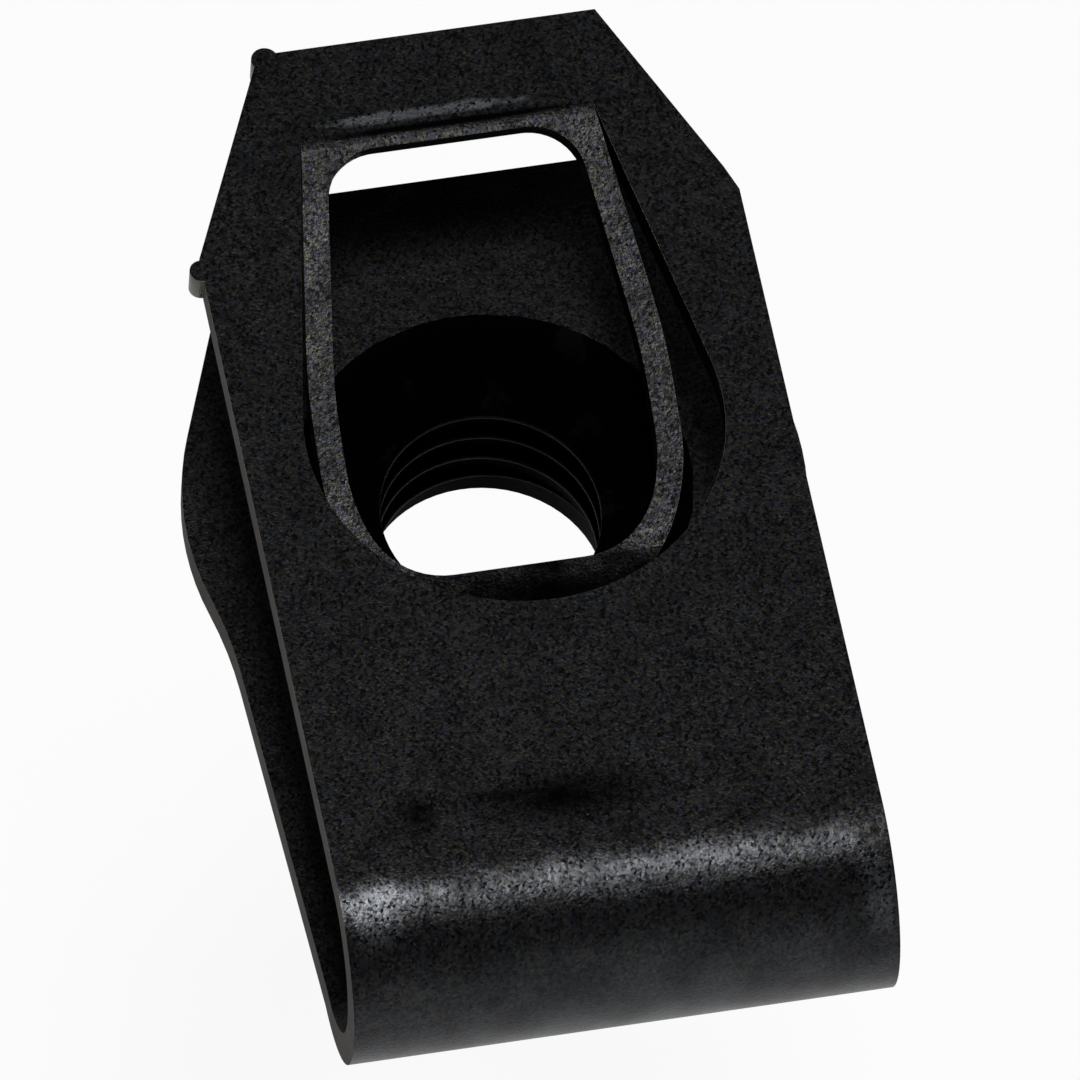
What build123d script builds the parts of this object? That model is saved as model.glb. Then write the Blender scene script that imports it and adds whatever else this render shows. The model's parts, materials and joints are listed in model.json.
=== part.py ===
"""U-shaped clip nut, folded from one strip of spring steel, for an M8 screw.

The strip is folded back on itself, so two legs lie one above the other with a throat between
them for a panel. The lower leg swells into two ears round a drawn barrel that holds the
thread. The upper leg, the leaf, has a window. The frame lanced out of that window hangs from
the window's far edge, slopes down to the lower leg and levels off in a nose, which snaps into
the panel's hole and keeps the clip there until the screw is in.

Frame: the origin is on the thread's axis, on the face of the lower leg that the panel bears
on. X runs across the strip, Y from the fold to the tips, and Z up, from the lower leg to the
leaf. The screw comes from above, through the leaf's window and the frame's window.
"""

import os
from math import acos, atan2, cos, degrees, hypot, radians, sin, sqrt, tan

from build123d import *

# ---- the strip and its fold --------------------------------------------------------------
SHEET = 1.05            # thickness of the strip
STRIP_WIDTH = 18.0      # width of the leaf and of the fold
THROAT = 6.0            # clear height between the legs
FOLD_REACH = 18.1       # thread axis back to the line where the fold begins

# ---- the leaf ----------------------------------------------------------------------------
LEAF_AHEAD = 13.3       # thread axis to the leaf's tip
LEAF_TAPER = 7.5        # length of its tapered end
LEAF_TIP_WIDTH = 11.3   # width left at its tip
FACET_LENGTH = 0.95     # flat trimmed off its +X corner, along the strip's edge
FACET_DEPTH = 0.35      # the same flat, across the strip
STUB_RADIUS = 0.4       # round stub by the -X shoulder, left by the carrier strip
STUB_INSET = 0.0        # how far inside the edge it is centred
STUB_BACK = 0.45        # shoulder back to its centre
NIB_RADIUS = 0.45       # rounded nib on the -X corner of the tip
NIB_INSET = 0.2         # how far inside both edges it is centred

# ---- the leaf's window -------------------------------------------------------------------
RAIL_WIDTH = 2.1        # metal left beside the window
WINDOW_BACK = 2.0       # thread axis back to the centre of the window's round end
HINGE_RAIL = 4.12       # metal left beside the window at the hinge
HINGE_AHEAD = 9.8       # thread axis to the line where the lanced frame hangs

# ---- the lanced frame --------------------------------------------------------------------
RAMP_ANGLE = 21.5       # slope of the frame, degrees below the leaf
HINGE_BEND = 0.6        # inside radius of the bend at the hinge
HINGE_SLOT = 0.02       # window's edge to the frame's, at the hinge
RAMP_BACK = 0.6         # thread axis back to the centre of its round end
SLOT_WIDTH = 0.9        # window's round end to the frame's, across the slot
ROUND_RUN = 1.2         # straight run where it is widest, just before the round end
SHOULDER_RADIUS = 20.0  # slow curve between its straight flanks and that run
SIDE_BAR = 0.85         # width of the bars beside its own window
HINGE_BAR = 0.6         # metal between the hinge and that window
NOSE_BAR = 2.35         # metal between that window and the end of the nose
HINGE_CORNER = 1.8      # corner radius of that window at the hinge
NOSE_CORNER_EASE = 2.35 # how much less than its round end's radius its corners' are there
NOSE_LIFT = 0.55        # clearance between the nose and the lower leg
NOSE_BEND = 4.0         # inside radius of the bend that levels the nose

# ---- the lower leg -----------------------------------------------------------------------
LEG_AHEAD = 12.0        # thread axis to the lower leg's tip
LEG_TIP_WIDTH = 12.6    # width left at that tip
LEG_FLARE = 2.5         # angle at which the leg widens from the fold, in degrees
EAR_PROUD = 1.3         # how far an ear stands out past the edge of the fold
EAR_BACK = 0.3          # thread axis back to the centre of the ears
EAR_BLEND = 15.0        # hollow radius that leads from the leg's edge into an ear

# ---- the drawn barrel --------------------------------------------------------------------
THREAD_RADIUS = 4.0     # bore, at the major diameter of M8
BARREL_WALL = 0.8       # wall round the bore
BARREL_DROP = 5.85      # barrel below the lower leg's outer face
MOUTH_FLARE = 2.25      # how much wider the mouth is than the bore, on the radius
MOUTH_DEPTH = 1.9       # depth of the flared mouth
MOUTH_ROUND = 1.0       # rounding of the mouth's upper edge
MOUTH_FOOT = 0.5        # rounding where the mouth runs into the bore
THROAT_FILLET = 0.9     # fillet where the barrel leaves the outer face
RIM_CHAMFER = 0.25      # chamfers at the barrel's open end

HALF = STRIP_WIDTH / 2
LEAF_TOP = THROAT + SHEET
WINDOW_RADIUS = HALF - RAIL_WIDTH
WINDOW_HINGE = HALF - HINGE_RAIL
RAMP_RADIUS = WINDOW_RADIUS - SLOT_WIDTH
RAMP_HINGE = WINDOW_HINGE - HINGE_SLOT
EAR_RADIUS = HALF + EAR_PROUD
BARREL_END = -SHEET - BARREL_DROP


def tangent_angle(corner, radius, centre=(0.0, 0.0)):
    """Angle, in degrees, where a line from a corner touches the +X side of a circle."""
    across, along = corner[0] - centre[0], corner[1] - centre[1]
    return degrees(atan2(along, across) - acos(radius / hypot(across, along)))


def on_circle(radius, angle, centre=(0.0, 0.0)):
    """Point of a circle at an angle in degrees."""
    turn = radians(angle)
    return centre[0] + radius * cos(turn), centre[1] + radius * sin(turn)


def arc(radius, start, end, centre=(0.0, 0.0)):
    """Arc of a circle between two angles in degrees."""
    return CenterArc(centre, radius, start, end - start)


def both_sides(right):
    """Face inside an outline whose +X half is given."""
    return make_face((right + mirror(right, about=Plane.YZ)).edges())


def drop_outline(hinge, half_width, centre, radius, shoulder, run=0.0):
    """Face that hangs from a straight hinge edge and ends round.

    Its flanks are straight, then follow the shoulder radius into a run of full width, which
    ends at the centre of the round end.
    """
    corner = (half_width, hinge)
    hub = (radius - shoulder, centre + run)
    turn = tangent_angle(corner, shoulder, hub)
    right = Line((0, hinge), corner) + Line(corner, on_circle(shoulder, turn, hub))
    right += arc(shoulder, turn, 0, hub)
    if run:
        right += Line((radius, centre + run), (radius, centre))
    right += arc(radius, 0, -90, (0, centre))
    return both_sides(right)


def leaf_outline():
    """Leaf with its tapered tip, the trimmed +X corner, and a stub and a nib at -X."""
    shoulder_y = LEAF_AHEAD - LEAF_TAPER
    tip_x = LEAF_TIP_WIDTH / 2
    slope = (HALF - tip_x) / LEAF_TAPER
    facet_top = shoulder_y + FACET_DEPTH / slope
    face = make_face(Polyline(
        (-HALF, -FOLD_REACH), (HALF, -FOLD_REACH),
        (HALF, facet_top - FACET_LENGTH), (HALF - FACET_DEPTH, facet_top),
        (tip_x, LEAF_AHEAD), (-tip_x, LEAF_AHEAD), (-HALF, shoulder_y),
        close=True))
    face += Pos(STUB_INSET - HALF, shoulder_y - STUB_BACK) * Circle(STUB_RADIUS)
    face += Pos(NIB_INSET - tip_x, LEAF_AHEAD - NIB_INSET) * Circle(NIB_RADIUS)
    return face


def leaf():
    """Upper leg, with the window its lanced frame came out of."""
    window = drop_outline(HINGE_AHEAD, WINDOW_HINGE, -WINDOW_BACK,
                          WINDOW_RADIUS, WINDOW_RADIUS)
    return extrude(Pos(0, 0, THROAT) * (leaf_outline() - window), SHEET)


def fold():
    """Half turn of the strip that joins the two legs."""
    centre = Pos(0, -FOLD_REACH, THROAT / 2)
    section = Pos(0, (THROAT + SHEET) / 2) * Rectangle(STRIP_WIDTH, SHEET)
    return centre * revolve(Plane.XZ * section, Axis.X, 180)


def ramp_side():
    """Lanced frame seen from the side: its root in the leaf, the ramp and the level nose."""
    slope = radians(RAMP_ANGLE)
    drop = THROAT - NOSE_LIFT
    crest_y = HINGE_AHEAD - (HINGE_BEND + SHEET) * tan(slope / 2)
    foot_y = crest_y - drop / tan(slope)
    root = (HINGE_AHEAD + SHEET, LEAF_TOP)
    crest = (crest_y, LEAF_TOP)
    foot = (foot_y, LEAF_TOP - drop)
    end = (foot_y - STRIP_WIDTH, LEAF_TOP - drop)
    upper = FilletPolyline(root, crest, foot, end, radius=(HINGE_BEND + SHEET, NOSE_BEND))
    return Plane.YZ * make_face(offset(upper, amount=SHEET, side=Side.LEFT).edges())


def crop(face, top, bottom):
    """Part of a face between two lines across the strip."""
    length = top - bottom
    return face & (Pos(0, bottom + length / 2) * Rectangle(STRIP_WIDTH, length))


def slope_plane():
    """Upper face of the ramp, from the hinge down."""
    return Plane((0, HINGE_AHEAD, LEAF_TOP), x_dir=(1, 0, 0),
                 z_dir=Vector(0, 0, 1).rotate(Axis.X, RAMP_ANGLE))


def ramp_window():
    """Window of the lanced frame: square to the ramp at the hinge, upright at the nose.

    The two parts overlap in the middle of the run, where both have straight sides.
    """
    width = RAMP_RADIUS - SIDE_BAR
    shoulder = SHOULDER_RADIUS - SIDE_BAR
    hinge_width = RAMP_HINGE - SIDE_BAR
    lean = cos(radians(RAMP_ANGLE))
    centre = -(HINGE_AHEAD + RAMP_BACK) / lean
    upper = drop_outline(0, hinge_width, centre, width, shoulder, ROUND_RUN / lean)
    upper = crop(upper, -HINGE_BAR, centre + ROUND_RUN / 4 / lean)
    upper = fillet(upper.vertices().group_by(Axis.Y)[-1], HINGE_CORNER)
    lower = drop_outline(HINGE_AHEAD, hinge_width, -RAMP_BACK, width, shoulder, ROUND_RUN)
    lower = crop(lower, 3 * ROUND_RUN / 4 - RAMP_BACK, NOSE_BAR - RAMP_BACK - RAMP_RADIUS)
    lower = fillet(lower.vertices().group_by(Axis.Y)[0], width - NOSE_CORNER_EASE)
    square = extrude(slope_plane() * upper, 2 * SHEET, both=True)
    return square + extrude(lower, LEAF_TOP)


def ramp():
    """Lanced frame that hangs from the hinge."""
    plan = drop_outline(HINGE_AHEAD, RAMP_HINGE, -RAMP_BACK,
                        RAMP_RADIUS, SHOULDER_RADIUS, ROUND_RUN)
    plan += Pos(0, HINGE_AHEAD + SHEET / 2) * Rectangle(2 * RAMP_HINGE, SHEET)
    sheet = extrude(ramp_side(), HALF, both=True)
    return (sheet & extrude(plan, LEAF_TOP)) - ramp_window()


def leg_outline():
    """Lower leg: it widens from the fold, swells into the ears and tapers to its tip."""
    flare = radians(LEG_FLARE)
    ears = (0, -EAR_BACK)
    start = (HALF, -FOLD_REACH)
    along = Vector(sin(flare), cos(flare))
    across = Vector(cos(flare), -sin(flare))
    beside = Vector(*start) - Vector(*ears) + EAR_BLEND * across
    lead = beside.dot(along)
    reach = (EAR_RADIUS + EAR_BLEND) ** 2 - beside.dot(beside)
    edge_length = -lead - sqrt(lead ** 2 + reach)
    hollow = beside + edge_length * along + Vector(*ears)
    entry = degrees(atan2(hollow.Y + EAR_BACK, hollow.X))
    flat_end = hollow - EAR_BLEND * across
    tip = (LEG_TIP_WIDTH / 2, LEG_AHEAD)
    tip_turn = tangent_angle(tip, EAR_RADIUS, ears)
    right = Polyline((0, -FOLD_REACH), start, flat_end)
    right += arc(EAR_BLEND, 180 - LEG_FLARE, 180 + entry, (hollow.X, hollow.Y))
    right += arc(EAR_RADIUS, entry, tip_turn, ears)
    right += Polyline(on_circle(EAR_RADIUS, tip_turn, ears), tip, (0, LEG_AHEAD))
    return both_sides(right)


def lower_leg():
    """Lower leg before its hole is drawn."""
    return extrude(Pos(0, 0, -SHEET) * leg_outline(), SHEET)


def turned(profile):
    """Solid swept by a half section about the thread axis; x is the radius, y the height."""
    return revolve(Plane.XZ * make_face(profile.edges()), Axis.Z)


def collar():
    """Outside of the barrel, with the fillet that leads into the leg."""
    wall = THREAD_RADIUS + BARREL_WALL
    root = wall + THROAT_FILLET
    profile = Polyline((wall, -SHEET - THROAT_FILLET), (wall, BARREL_END + RIM_CHAMFER),
                       (wall - RIM_CHAMFER, BARREL_END), (0, BARREL_END), (0, 0), (root, 0),
                       (root, -SHEET))
    profile += arc(THROAT_FILLET, 90, 180, (root, -SHEET - THROAT_FILLET))
    return turned(profile)


def bore():
    """Space inside the barrel, with its flared mouth and chamfered end."""
    mouth = THREAD_RADIUS + MOUTH_FLARE
    wall = FilletPolyline((mouth + MOUTH_ROUND, 0), (mouth, 0), (THREAD_RADIUS, -MOUTH_DEPTH),
                          (THREAD_RADIUS, BARREL_END + RIM_CHAMFER),
                          radius=(MOUTH_ROUND, MOUTH_FOOT))
    rest = Polyline(wall @ 1, (THREAD_RADIUS + RIM_CHAMFER, BARREL_END), (0, BARREL_END),
                    (0, 0), wall @ 0)
    return turned(wall + rest)


def nut():
    """The whole clip, one piece."""
    return (leaf() + ramp() + fold() + lower_leg() + collar() - bore()).clean()


if __name__ == "__main__":
    os.makedirs("parts", exist_ok=True)
    export_step(nut(), "parts/nut.step")
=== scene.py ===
"""Finish of the U-shaped clip nut: sheared edges, cut thread, black phosphate, and a studio."""

import json
import math

import bmesh
import bpy
from bpy.props import FloatProperty, FloatVectorProperty, PointerProperty
from mathutils import Matrix, Vector


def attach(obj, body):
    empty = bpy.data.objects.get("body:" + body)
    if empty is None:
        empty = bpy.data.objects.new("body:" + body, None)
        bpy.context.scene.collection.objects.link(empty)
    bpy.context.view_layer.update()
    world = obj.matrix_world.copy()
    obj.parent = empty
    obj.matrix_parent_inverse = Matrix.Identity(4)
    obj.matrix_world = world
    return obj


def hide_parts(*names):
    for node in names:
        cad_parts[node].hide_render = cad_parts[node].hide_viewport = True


bl_info = {
    "name": "Clip nut finish",
    "version": (1, 0, 0),
    "blender": (4, 5, 0),
    "location": "View3D > Sidebar > Clip nut",
    "description": "Edges, thread, phosphate finish and studio for a U-shaped clip nut",
    "category": "Object",
}

MM = 0.001

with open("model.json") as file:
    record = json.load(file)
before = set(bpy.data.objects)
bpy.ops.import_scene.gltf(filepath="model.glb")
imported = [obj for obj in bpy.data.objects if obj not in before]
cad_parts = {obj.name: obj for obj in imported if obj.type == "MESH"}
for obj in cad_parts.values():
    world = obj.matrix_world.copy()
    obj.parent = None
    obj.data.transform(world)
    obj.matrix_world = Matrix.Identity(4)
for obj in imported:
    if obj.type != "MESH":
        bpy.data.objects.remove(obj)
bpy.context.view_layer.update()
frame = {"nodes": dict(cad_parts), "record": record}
mounts = {mount["name"]: mount for mount in frame["record"]["mounts"]}
bore_radius = mounts["thread"]["dims"]["r_mm"] * MM
mouth_foot = (mounts["thread"]["pos_m"][2] + mounts["thread"]["dims"]["length_mm"] / 2 * MM)


class ClipNutSizes(bpy.types.PropertyGroup):
    """Sizes of what the solids leave out"""

    edge_round: FloatProperty(
        name="Edge round", description="Width of the rounding on the sheared edges",
        default=0.09 * MM, unit="LENGTH", precision=6)
    pitch: FloatProperty(
        name="Thread pitch", description="Rise of the thread in one turn",
        default=1.25 * MM, unit="LENGTH", precision=6)
    crest_radius: FloatProperty(
        name="Crest radius", description="Thread axis to the crests of the nut's thread",
        default=3.65 * MM, unit="LENGTH", precision=6)
    thread_top: FloatProperty(
        name="Thread start", description="Height of the first whole crest on the +Y side",
        default=-1.7 * MM, unit="LENGTH", precision=6)


class ClipNutFinish(bpy.types.PropertyGroup):
    """Colours of the phosphate finish, also used for painted shade, painted highlights and a
    painted reflection
    """

    base: FloatVectorProperty(
        name="Phosphate", description="Colour of the oiled phosphate coat",
        subtype="COLOR", size=3, min=0, max=1, default=(0.0035, 0.0035, 0.0038))
    warm: FloatVectorProperty(
        name="Warm crystals", description="Colour of the crystals with a brown cast",
        subtype="COLOR", size=3, min=0, max=1, default=(0.036, 0.0345, 0.028))
    cool: FloatVectorProperty(
        name="Cool crystals", description="Colour of the crystals with a blue cast",
        subtype="COLOR", size=3, min=0, max=1, default=(0.027, 0.029, 0.036))
    # Also the colour of the painted shade and the painted shadow.
    soaked_and_shaded: FloatVectorProperty(
        name="Soaked coat", description="Colour of the coat where oil has soaked in",
        subtype="COLOR", size=3, min=0, max=1, default=(0.0006, 0.0006, 0.0007))
    # Also the colour of painted highlights on some arrises.
    rub_and_highlight: FloatVectorProperty(
        name="Rubbed edge", description="Colour where handling has thinned the coat",
        subtype="COLOR", size=3, min=0, max=1, default=(0.38, 0.37, 0.32))
    # Also the colour of the painted highlights on the bend and the hinge, and of a painted floor
    # reflection.
    scuff_and_sheen: FloatVectorProperty(
        name="Scuff", description="Colour of the pale scuffs on the bend",
        subtype="COLOR", size=3, min=0, max=1, default=(0.12, 0.125, 0.135))
    shear: FloatVectorProperty(
        name="Sheared wall", description="Colour of the matt cut walls of the sheet",
        subtype="COLOR", size=3, min=0, max=1, default=(0.04, 0.033, 0.027))
    grain: FloatProperty(
        name="Grain", description="Size of a crystal in the coat",
        default=0.09 * MM, unit="LENGTH", precision=6)


class ClipNutStudio(bpy.types.PropertyGroup):
    """Floor, lamps and camera"""

    floor_depth: FloatProperty(
        name="Floor depth", description="Height of the floor in the part's frame",
        default=-45 * MM, unit="LENGTH", precision=4)
    key_power: FloatProperty(
        name="Overhead lamp", description="Power of the soft lamp overhead",
        default=1.7, min=0)
    sky: FloatProperty(
        name="Room light", description="Brightness of the room around the part",
        default=0.5, min=0)
    camera_distance: FloatProperty(
        name="Camera distance", description="Camera to the middle of the part",
        default=0.84, unit="LENGTH")


class Value:
    """A socket of a shader tree, with arithmetic that adds Math nodes."""

    def __init__(self, tree, socket):
        self.tree = tree
        self.socket = socket

    def math(self, operation, other=None):
        values = {0: self}
        if other is not None:
            values[1] = other
        return self.tree.add("ShaderNodeMath", {"operation": operation}, values)

    def __add__(self, other):
        return self.math("ADD", other)

    __radd__ = __add__

    def __mul__(self, other):
        return self.math("MULTIPLY", other)

    __rmul__ = __mul__

    def __sub__(self, other):
        return self.math("SUBTRACT", other)

    def __rsub__(self, other):
        return self.tree.add("ShaderNodeMath", {"operation": "SUBTRACT"}, {0: other, 1: self})

    def clamp(self):
        return self.tree.add("ShaderNodeClamp", None, {"Value": self})


class Shader:
    """The node tree of a new material, or of a world, built one node at a time."""

    def __init__(self, name, world=None):
        self.material = world or bpy.data.materials.new(name)
        self.material.use_nodes = True
        self.nodes = self.material.node_tree.nodes
        self.links = self.material.node_tree.links
        self.nodes.clear()

    def node(self, kind, settings=None, values=None):
        """Add a node; its settings come first, then the values or links of its inputs."""
        node = self.nodes.new(kind)
        for key, setting in (settings or {}).items():
            if key == "stops":
                for stop, (place, shade) in zip(ramp_stops(node, len(setting)), setting):
                    stop.position = place
                    stop.color = (shade, shade, shade, 1)
            else:
                setattr(node, key, setting)
        for key, value in (values or {}).items():
            if isinstance(value, Value):
                self.links.new(value.socket, node.inputs[key])
            else:
                node.inputs[key].default_value = value
        return node

    def add(self, kind, settings=None, values=None, output=0):
        """Add a node and return one of its outputs."""
        return Value(self, self.node(kind, settings, values).outputs[output])

    def output(self, node, name):
        """One of a node's outputs, by its name."""
        return Value(self, node.outputs[name])

    def mix(self, factor, first, second):
        """Blend two colours."""
        node = self.node("ShaderNodeMix", {"data_type": "RGBA"}, {"Factor": factor})
        for name, colour in (("A_Color", first), ("B_Color", second)):
            socket = next(s for s in node.inputs if s.identifier == name)
            if isinstance(colour, Value):
                self.links.new(colour.socket, socket)
            else:
                socket.default_value = (*colour, 1)
        return Value(self, next(s for s in node.outputs if s.identifier == "Result_Color"))

    def face_value(self, name):
        """A number stored on the faces of the mesh."""
        return self.add("ShaderNodeAttribute", {"attribute_name": name}, output=2)

    def spot(self, place, noise, centre, reach, strength):
        """Mark that fades out from its centre, with a ragged edge."""
        away = self.add("ShaderNodeVectorMath", {"operation": "SUBTRACT"},
                        {0: place, 1: Vector(centre) * MM})
        away = self.add("ShaderNodeVectorMath", {"operation": "DIVIDE"},
                        {0: away, 1: Vector(reach) * MM})
        length = self.add("ShaderNodeVectorMath", {"operation": "LENGTH"}, {0: away}, output=1)
        return strength * (2.2 - 1.6 * length - 1.6 * noise).clamp()

    def surface(self, shader, kind="ShaderNodeOutputMaterial"):
        """Send a shader to the surface of the material or the world."""
        output = self.nodes.new(kind)
        self.links.new(shader.socket, output.inputs["Surface"])


def ramp_stops(node, count):
    """The stops of a colour ramp, as many as asked for."""
    elements = node.color_ramp.elements
    while len(elements) < count:
        elements.new(1.0)
    return elements


# Marks on the coat: centre and reach in mm, and strength. Some are real smudges, scuffs and a
# scratch; the others are painted shade, a painted shadow, painted highlights and a painted
# reflection of the floor, each marked below.
STAINS_AND_SHADE = (((-1.0, -16.3, 7.05), (4.2, 1.4, 2.0), 0.7),
          ((-5.9, -16.3, 7.05), (1.0, 1.3, 2.0), 0.6),
          ((-4.0, -16.0, 7.05), (2.6, 0.3, 2.0), 0.25),
          # Painted shade in the crease along the hinge.
          ((0.0, 9.72, 6.9), (8.0, 0.26, 0.9), 1.0),
          # Painted shadow of the leaf on the lower leg's tip.
          ((0.0, 11.3, 0.0), (14.0, 2.4, 1.5), 0.8))
SCUFFS_AND_HIGHLIGHTS = (((-8.0, -19.6, 6.7), (1.2, 1.6, 1.5), 0.9),
          # Painted highlight band along the start of the bend.
          ((-1.0, -19.3, 6.8), (14.0, 1.0, 1.5), 0.6),
          ((8.4, -20.6, 5.5), (1.0, 1.6, 2.0), 0.6),
          # Painted highlight on the roll at the hinge.
          ((-1.2, 10.25, 7.0), (4.6, 0.32, 0.9), 3.0),
          ((-0.7, -8.45, 7.05), (0.7, 0.2, 1.0), 0.8))
# Painted reflection of the floor on the lower part of the fold.
PAINTED_FLOOR_REFLECTION = ((0.0, -22.3, 2.0), (18.0, 3.4, 6.0), 0.28)


def phosphate(name, finish):
    """Black phosphate with its rust-proofing film: a nearly black coat of fine crystals that
    glint, with painted shade, a painted shadow, painted highlights and a painted floor reflection
    mixed into its colour.
    """
    shader = Shader(name)
    place = shader.add("ShaderNodeTexCoord", output=3)
    grain = shader.add("ShaderNodeTexNoise", {"noise_dimensions": "3D"},
                       {"Vector": place, "Scale": 1 / finish.grain, "Detail": 2.0,
                        "Roughness": 0.6})
    cast = shader.add("ShaderNodeTexNoise", {"noise_dimensions": "3D"},
                      {"Vector": place, "Scale": 0.5 / finish.grain, "Detail": 1.0})
    patches = shader.add("ShaderNodeTexNoise", {"noise_dimensions": "3D"},
                         {"Vector": place, "Scale": 0.06 / finish.grain, "Detail": 3.0,
                          "Roughness": 0.55})
    facets = shader.add("ShaderNodeTexVoronoi", {"voronoi_dimensions": "3D"},
                        {"Vector": place, "Scale": 0.9 / finish.grain}, output=1)
    glints = shader.add("ShaderNodeValToRGB", {"stops": [(0.30, 0.0), (0.72, 1.0)]},
                        {"Fac": 0.5 * grain + 0.5 * facets})
    hue = shader.add("ShaderNodeValToRGB", {"stops": [(0.42, 0.0), (0.58, 1.0)]},
                     {"Fac": cast})
    crystal = shader.mix(hue, finish.warm, finish.cool)
    colour = shader.mix(glints, finish.base, crystal)
    tone = shader.add("ShaderNodeValToRGB", {"stops": [(0.35, 0.0), (0.65, 1.0)]},
                      {"Fac": patches})
    # Real smudges, with painted shade in the hinge's crease and a painted shadow on the lower
    # leg's tip.
    stain_and_shade = sum(shader.spot(place, patches, *mark) for mark in STAINS_AND_SHADE)
    # Real scuffs and a scratch, with painted highlights along the bend and on the hinge's roll,
    # shown only where the crystals glint.
    scuff_and_sheen = glints * sum(shader.spot(place, patches, *mark) for mark in SCUFFS_AND_HIGHLIGHTS)
    # A painted reflection of the floor, lightening the lower part of the fold.
    scuff_and_sheen = scuff_and_sheen + shader.spot(place, grain, *PAINTED_FLOOR_REFLECTION)
    oil, matt = shader.face_value("oil"), shader.face_value("matt")
    colour = shader.mix(scuff_and_sheen.clamp(), colour, finish.scuff_and_sheen)
    colour = shader.mix(matt, colour, finish.shear)
    # Darkened towards this colour by random tone, by the real stains with the painted shade and
    # painted shadow among them, and by the painted shade stored on the faces.
    colour = shader.mix((0.35 * tone + stain_and_shade + oil).clamp(), colour, finish.soaked_and_shaded)
    # Paler where sheared edges are worn, with painted highlights on some arrises.
    wear = shader.face_value("wear") * (0.55 + 0.9 * grain)
    colour = shader.mix(wear.clamp(), colour, finish.rub_and_highlight)
    polish = shader.face_value("polish")
    roughness = 0.31 + 0.12 * patches + 0.05 * grain - 0.05 * polish + 0.3 * matt
    bump = shader.add("ShaderNodeBump", None,
                      {"Strength": 1.0, "Distance": 0.03 * MM,
                       "Height": 0.6 * grain + 0.4 * facets})
    body = shader.add("ShaderNodeBsdfPrincipled", None,
                      {"Base Color": colour, "Metallic": 0.95 - 0.95 * matt,
                       "Roughness": roughness, "Specular IOR Level": 0.0, "Normal": bump})
    shader.surface(body)
    return shader.material


def finished(mesh_name, mesh, material):
    """Object for a finished mesh, in the part's frame, riding with it."""
    piece = bpy.data.objects.new(mesh_name, mesh)
    bpy.context.scene.collection.objects.link(piece)
    mesh.materials.clear()
    mesh.materials.append(material)
    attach(piece, "root")
    return piece


def sharp_edges(form, angle):
    """Edges where two faces meet at more than an angle."""
    return [edge for edge in form.edges
            if len(edge.link_faces) == 2 and edge.calc_face_angle() > angle]


# Where the regions of the sheet lie, in mm.
MOUTH_REACH, MOUTH_TOP = 7.0, -0.005
BARREL_REACH, BARREL_TOP = 6.5, -1.1
FRAME_HALF, FRAME_SPAN, FRAME_HEIGHT = 6.05, (-6.7, 9.8), (0.3, 7.0)
NOSE_HEIGHT = 1.7
WINDOW_HALF, WINDOW_SPAN = 7.0, (-9.5, 10.5)
LEAF_BOTTOM = 5.9
FOLD_START = -18.0

# What the mesh stores on each face, and the values of each kind of face: wear on sheared edges,
# with painted highlights on some arrises; polish; painted shade; and matt cut walls.
FACE_VALUES = ("wear", "polish", "oil", "matt")
COAT = (0.0, 0.0, 0.0, 0.0)
# Painted shade: the mouth's faces that face the axis are painted nearly black.
MOUTH = (0.0, 0.0, 0.95, 0.75)
# Painted shade: the walls inside the windows and the frame are painted dark.
DARK_WALL = (0.0, 0.0, 0.9, 0.9)
FRAME = (0.0, 1.0, 0.0, 0.0)
# The frame's outer arris on the +X side: wear with a painted highlight.
FRAME_LINE = (0.6, 1.0, 0.0, 0.6)
# Painted shade on the frame's level nose.
NOSE = (0.0, 1.0, 0.7, 0.0)
LEAF_WALL = (0.2, 0.0, 0.0, 0.0)
LOWER_WALL = (0.06, 0.0, 0.0, 0.6)
# Arrises facing -X are made paler than those facing +X: wear, with a painted highlight on the -X
# side.
PALE_LINE = (0.8, 0.0, 0.0, 0.3)
FAINT_LINE = (0.2, 0.0, 0.0, 0.3)


def between(value, span):
    """Whether a value lies inside a span."""
    return span[0] < value < span[1]


def face_values(place, normal):
    """Values of a face of the sheet, by where it lies, in mm, and which way it faces."""
    axis_distance = math.hypot(place.x, place.y)
    faces_axis = normal.x * place.x + normal.y * place.y < 0
    if axis_distance < MOUTH_REACH and place.z < MOUTH_TOP and faces_axis:
        return MOUTH
    if axis_distance < BARREL_REACH and place.z < BARREL_TOP:
        return COAT
    arris = 0.2 < normal.z < 0.95 and abs(normal.x) > 0.3
    if (abs(place.x) < FRAME_HALF and between(place.y, FRAME_SPAN)
            and between(place.z, FRAME_HEIGHT)):
        if abs(normal.z) < 0.2:
            return DARK_WALL
        if place.z < NOSE_HEIGHT and abs(normal.z) > 0.98:
            return NOSE
        return FRAME_LINE if arris and normal.x > 0 and place.x > 0 else FRAME
    upper = place.z > LEAF_BOTTOM
    if abs(normal.x) > 0.7 or (abs(normal.z) < 0.2 and place.y > FOLD_START):
        if upper and abs(place.x) < WINDOW_HALF and between(place.y, WINDOW_SPAN):
            return DARK_WALL
        return LEAF_WALL if upper and place.y > FOLD_START else LOWER_WALL
    if arris:
        return PALE_LINE if normal.x < 0 else FAINT_LINE
    return COAT


def mark_faces(form):
    """Store the face values on a mesh of the sheet."""
    layers = [form.faces.layers.float.new(name) for name in FACE_VALUES]
    for face in form.faces:
        values = face_values(face.calc_center_median() / MM, face.normal)
        for layer, value in zip(layers, values):
            face[layer] = value


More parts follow.
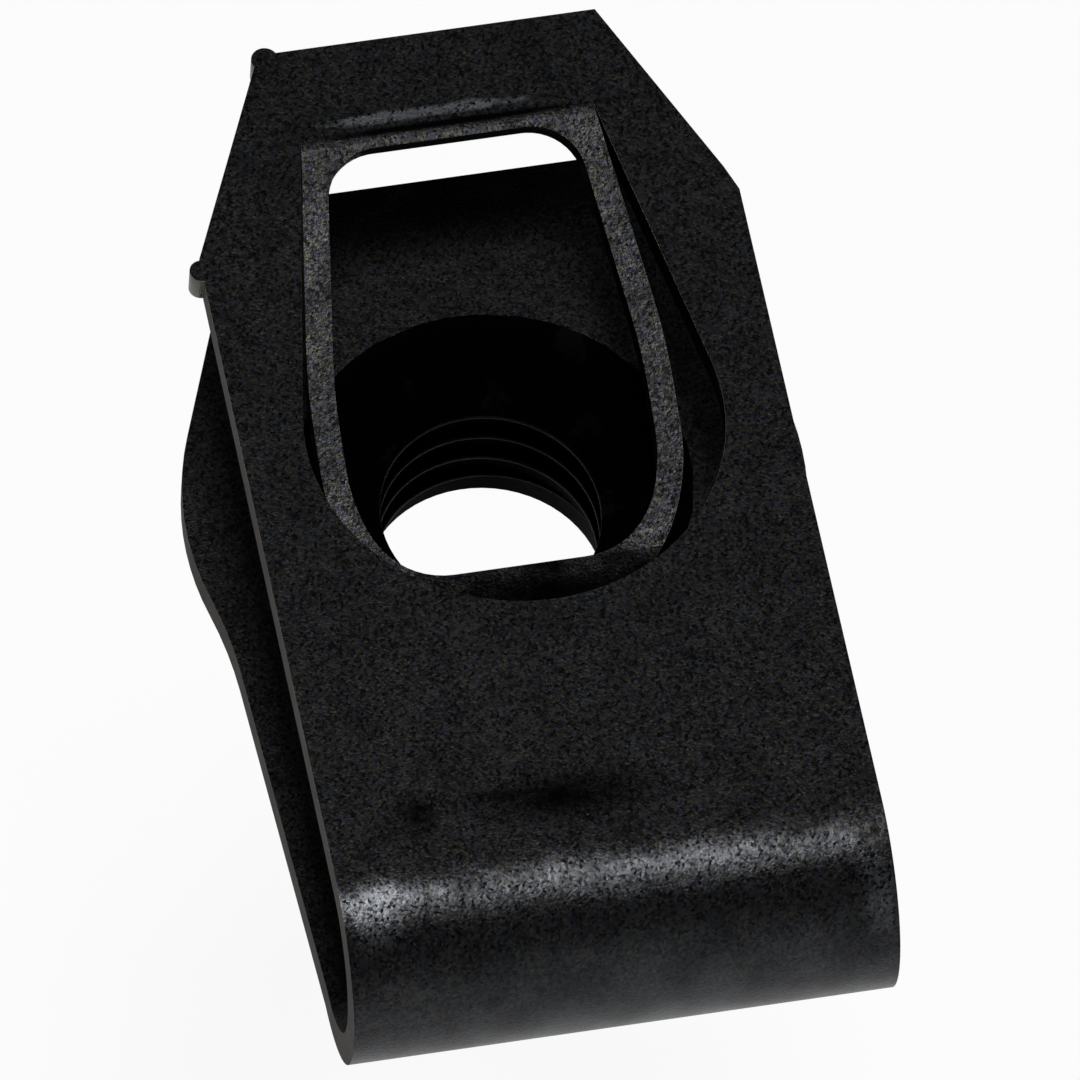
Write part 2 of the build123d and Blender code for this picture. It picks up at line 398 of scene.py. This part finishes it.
class CLIPNUT_OT_sheet(bpy.types.Operator):
    """Round the sheared edges of the folded sheet"""

    bl_idname = "clip_nut.sheet"
    bl_label = "Folded sheet"

    def execute(self, context):
        sizes = context.scene.clip_nut_sizes
        mesh = bpy.data.meshes.new("folded_sheet")
        form = bmesh.new()
        form.from_mesh(frame["nodes"]["nut"].data)
        bmesh.ops.remove_doubles(form, verts=form.verts, dist=0.001 * MM)
        bmesh.ops.dissolve_limit(form, angle_limit=math.radians(0.5), verts=form.verts,
                                 edges=form.edges, use_dissolve_boundaries=False)
        bmesh.ops.bevel(form, geom=sharp_edges(form, math.radians(40)),
                        offset=sizes.edge_round, offset_type="OFFSET", affect="EDGES",
                        segments=2, profile=0.5, material=-1, clamp_overlap=True,
                        loop_slide=True)
        form.normal_update()
        mark_faces(form)
        form.to_mesh(mesh)
        form.free()
        mesh.shade_smooth()
        piece = finished("folded_sheet", mesh,
                         phosphate("black_phosphate", context.scene.clip_nut_finish))
        piece.modifiers.new("flat_faces", "WEIGHTED_NORMAL").keep_sharp = True
        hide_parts("nut")
        return {"FINISHED"}


THREAD_TURNS = 3.75             # turns of the helix, with both faded ends
TURNS_TO_TOP = 3.25             # turns from its lower end to the first whole crest
STEPS_PER_TURN = 64
FLANK_ANGLE = math.radians(30)  # flank of the ridge, from square to the axis
CREST_ROUND = 0.03 * MM         # how far the crest's corners are eased
ROOT_SINK = 0.04 * MM           # how far the ridge is sunk into the wall
FADE_TURNS = 0.33               # part of a turn in which an end sinks into the wall
MOUTH_SLOPE = 1.2               # how fast the wall draws back above the mouth's foot
FLANK_VALUE, CREST_VALUE = 0.95, 0.5    # painted shade and matt of the ridge's faces: the flanks are painted darker than the crests


class CLIPNUT_OT_thread(bpy.types.Operator):
    """Cut the right-hand thread of the barrel"""

    bl_idname = "clip_nut.thread"
    bl_label = "Thread"

    def execute(self, context):
        sizes = context.scene.clip_nut_sizes
        mesh = bpy.data.meshes.new("thread")
        form = bmesh.new()
        root = bore_radius + ROOT_SINK
        crest = sizes.crest_radius
        eased = crest + CREST_ROUND
        rise = (root - crest) * math.tan(FLANK_ANGLE)
        flat = sizes.pitch / 16
        low = sizes.thread_top - TURNS_TO_TOP * sizes.pitch
        corners = [(root, -flat - rise), (eased, -flat), (crest, -flat / 2),
                   (crest, flat / 2), (eased, flat), (root, flat + rise)]
        verts = [form.verts.new((radius, 0, low + height)) for radius, height in corners]
        face = form.faces.new(verts)
        steps = int(STEPS_PER_TURN * THREAD_TURNS)
        bmesh.ops.spin(form, geom=[face, *face.edges, *face.verts], cent=(0, 0, 0),
                       axis=(0, 0, 1), dvec=(0, 0, THREAD_TURNS * sizes.pitch / steps),
                       angle=math.tau * THREAD_TURNS, steps=steps, use_merge=False,
                       use_duplicate=False)
        for vert in form.verts:
            fade_ends(vert.co, low, sizes.pitch, root)
        bmesh.ops.recalc_face_normals(form, faces=form.faces)
        if form.calc_volume(signed=True) < 0:
            bmesh.ops.reverse_faces(form, faces=form.faces)
        form.normal_update()
        layers = [form.faces.layers.float.new(name) for name in ("oil", "matt")]
        for face in form.faces:
            # Painted shade inside the bore: the flanks are painted darker than the crests.
            for layer in layers:
                face[layer] = CREST_VALUE if abs(face.normal.z) < 0.7 else FLANK_VALUE
        form.to_mesh(mesh)
        form.free()
        mesh.shade_smooth()
        mesh.set_sharp_from_angle(angle=math.radians(50))
        finished("thread", mesh, bpy.data.materials["black_phosphate"])
        return {"FINISHED"}


def fade_ends(place, low, pitch, root):
    """Sink both ends of the helix into the wall, and its root into the mouth's slope."""
    angle = math.atan2(place.y, place.x) / math.tau
    turn = angle + round((place.z - low) / pitch - angle)
    along = min(turn, THREAD_TURNS - turn) / FADE_TURNS
    fade = min(max(along, 0), 1)
    fade = fade * fade * (3 - 2 * fade)
    radius = math.hypot(place.x, place.y)
    sunk = root + (radius - root) * fade
    middle = low + turn * pitch
    if radius > root - 0.01 * MM:
        sunk += max(place.z - mouth_foot, 0) * MOUTH_SLOPE
    place.x *= sunk / radius
    place.y *= sunk / radius
    place.z = middle + (place.z - middle) * (0.2 + 0.8 * fade)


class CLIPNUT_OT_stage(bpy.types.Operator):
    """Set up the floor, the lamps and the camera"""

    bl_idname = "clip_nut.stage"
    bl_label = "Studio"

    def execute(self, context):
        studio = context.scene.clip_nut_studio
        add_floor(studio)
        add_lamps(studio)
        add_camera(studio)
        context.scene.view_settings.view_transform = "Standard"
        return {"FINISHED"}


def ray_kinds(shader):
    """Whether a ray comes from the camera, and whether it comes from a mirror or glass."""
    path = shader.node("ShaderNodeLightPath")
    return shader.output(path, "Is Camera Ray"), (
        shader.output(path, "Is Glossy Ray") + shader.output(path, "Is Transmission Ray"))


def add_floor(studio):
    """Wide pale floor below the part."""
    mesh = bpy.data.meshes.new("floor")
    form = bmesh.new()
    bmesh.ops.create_circle(form, cap_ends=True, segments=64, radius=3.0)
    bmesh.ops.translate(form, verts=form.verts, vec=(0, 0, studio.floor_depth))
    form.to_mesh(mesh)
    form.free()
    floor = bpy.data.objects.new("floor", mesh)
    bpy.context.scene.collection.objects.link(floor)
    shader = Shader("pale_floor")
    diffuse = shader.add("ShaderNodeBsdfDiffuse", None, {"Color": (0.9, 0.9, 0.9, 1)})
    white = shader.add("ShaderNodeEmission", None, {"Color": (1, 1, 1, 1), "Strength": 1.0})
    seen, mirrored = ray_kinds(shader)
    node = shader.node("ShaderNodeMixShader", None, {0: 0.92 * seen + 0.85 * mirrored})
    shader.links.new(diffuse.socket, node.inputs[1])
    shader.links.new(white.socket, node.inputs[2])
    shader.surface(Value(shader, node.outputs[0]))
    mesh.materials.append(shader.material)


def add_lamp(name, place, size, power, target=(0, 0, 0)):
    """Square soft lamp that points at a target."""
    data = bpy.data.lights.new(name, "AREA")
    data.shape = "SQUARE"
    data.size = size
    data.energy = power
    lamp = bpy.data.objects.new(name, data)
    lamp.location = place
    lamp.rotation_euler = (Vector(target) - Vector(place)).to_track_quat("-Z", "Y").to_euler()
    bpy.context.scene.collection.objects.link(lamp)


def add_lamps(studio):
    """Overhead soft lamp and the room's light."""
    add_lamp("overhead", (0.0, -0.01, 0.50), 0.12, studio.key_power)
    world = bpy.data.worlds.new("room")
    world.use_nodes = True
    bpy.context.scene.world = world
    shader = Shader("room", world)
    direction = shader.add("ShaderNodeTexCoord", output=0)
    height = shader.add("ShaderNodeSeparateXYZ", None, {0: direction}, output=2)
    glow = shader.add("ShaderNodeValToRGB", {"stops": [(0.0, 1.0), (0.3, 0.85), (0.6, 0.25),
                                                       (0.8, 0.08), (1.0, 0.06)]}, {"Fac": height})
    room = shader.add("ShaderNodeBackground", None,
                      {"Color": (0.88, 0.94, 1, 1), "Strength": studio.sky * glow})
    white = shader.add("ShaderNodeBackground", None, {"Color": (1, 1, 1, 1), "Strength": 1.0})
    seen, mirrored = ray_kinds(shader)
    mix = shader.node("ShaderNodeMixShader", None, {0: seen + 0.6 * glow * mirrored})
    shader.links.new(room.socket, mix.inputs[1])
    shader.links.new(white.socket, mix.inputs[2])
    shader.surface(shader.output(mix, "Shader"), "ShaderNodeOutputWorld")


def add_camera(studio):
    """Long lens from above the fold, a little to the left."""
    azimuth, elevation, roll = math.radians(-15.128), math.radians(58.0), math.radians(-4.911)
    back = Vector((math.sin(azimuth) * math.cos(elevation),
                   -math.cos(azimuth) * math.cos(elevation), math.sin(elevation)))
    level = Vector((math.cos(azimuth), math.sin(azimuth), 0))
    upright = back.cross(level)
    right = math.cos(roll) * level - math.sin(roll) * upright
    up = math.sin(roll) * level + math.cos(roll) * upright
    middle = Vector((0, -10.1, 3.55)) * MM
    aim = middle - 0.545 * MM * right + 4.751 * MM * up
    data = bpy.data.cameras.new("camera")
    data.lens = 860.4
    data.sensor_width = 36
    data.clip_start = 0.01
    data.clip_end = 20
    camera = bpy.data.objects.new("camera", data)
    bpy.context.scene.collection.objects.link(camera)
    turn = Matrix((right, up, back)).transposed().to_4x4()
    camera.matrix_world = Matrix.Translation(aim + studio.camera_distance * back) @ turn
    bpy.context.scene.camera = camera


class CLIPNUT_PT_panel(bpy.types.Panel):
    """Clip nut pieces, in the order they are made"""

    bl_idname = "CLIPNUT_PT_panel"
    bl_label = "Clip nut"
    bl_space_type = "VIEW_3D"
    bl_region_type = "UI"
    bl_category = "Clip nut"

    def draw(self, context):
        layout = self.layout
        for group in (context.scene.clip_nut_sizes, context.scene.clip_nut_finish,
                      context.scene.clip_nut_studio):
            box = layout.box()
            for name in group.bl_rna.properties.keys():
                if name not in ("rna_type", "name"):
                    box.prop(group, name)
        for operator in OPERATORS:
            layout.operator(operator.bl_idname)


GROUPS = {"clip_nut_sizes": ClipNutSizes, "clip_nut_finish": ClipNutFinish,
          "clip_nut_studio": ClipNutStudio}
OPERATORS = (CLIPNUT_OT_sheet, CLIPNUT_OT_thread, CLIPNUT_OT_stage)


def register():
    for name, group in GROUPS.items():
        bpy.utils.register_class(group)
        setattr(bpy.types.Scene, name, PointerProperty(type=group))
    for operator in OPERATORS:
        bpy.utils.register_class(operator)
    bpy.utils.register_class(CLIPNUT_PT_panel)


def unregister():
    bpy.utils.unregister_class(CLIPNUT_PT_panel)
    for operator in reversed(OPERATORS):
        bpy.utils.unregister_class(operator)
    for name, group in GROUPS.items():
        delattr(bpy.types.Scene, name)
        bpy.utils.unregister_class(group)


def main():
    register()
    bpy.ops.clip_nut.sheet()
    bpy.ops.clip_nut.thread()
    bpy.ops.clip_nut.stage()


if __name__ == "__main__":
    main()
